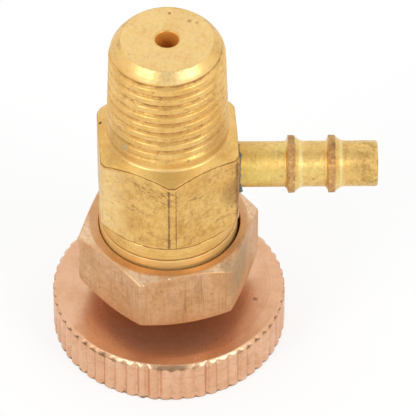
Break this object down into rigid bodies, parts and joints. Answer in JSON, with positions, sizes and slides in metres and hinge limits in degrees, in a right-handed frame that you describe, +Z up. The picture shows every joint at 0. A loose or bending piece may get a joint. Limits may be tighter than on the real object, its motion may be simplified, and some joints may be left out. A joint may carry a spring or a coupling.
{
  "type": "fuel bleeder valve",
  "caption": "Brass bleeder valve with taper pipe thread, hexagon body, side hose tail, packed gland nut and knurled handwheel that screws its stem onto the seat.",
  "frame": {"origin": "centre of the handwheel's underside, on the stem's axis", "axes": "+Z up the stem and inlet thread, +X out along the hose tail"},
  "size_m": [0.0366, 0.0264, 0.0436],
  "materials": {
    "body_brass": "turned, lightly tarnished",
    "tail_brass": "turned, bright",
    "nut_bronze": "milled, pink tinge",
    "wheel_bronze": "turned and knurled, pink tinge",
    "inner_brass": "turned",
    "stem_metal": "turned",
    "tip_steel": "ground",
    "solder": "dull, oxidised",
    "packing": "moulded, waxy"
  },
  "bodies": {
    "body_group": {"valve_body": "body_brass", "hose_tail": "tail_brass", "solder_ring": "solder", "gland_nut": "nut_bronze", "gland_follower": "inner_brass", "packing_ring_1": "packing", "packing_ring_2": "packing", "packing_washer": "inner_brass"},
    "tip_group": {"valve_tip": "tip_steel"},
    "wheel_group": {"stem": "stem_metal", "handwheel": "wheel_bronze"}
  },
  "joints": [
    {"name": "stem_travel", "type": "slide", "parent": "body_group", "child": "tip_group", "axis": [0, 0, 1], "range_m": [0, 0.002]},
    {"name": "wheel_turn", "type": "hinge", "parent": "tip_group", "child": "wheel_group", "pos_m": [0, 0, 0], "axis": [0, 0, 1], "range_deg": [0, 720]}
  ],
  "couplings": [
    {"joint": "wheel_turn", "follows": "stem_travel", "rad_per_m": 6283.2}
  ]
}
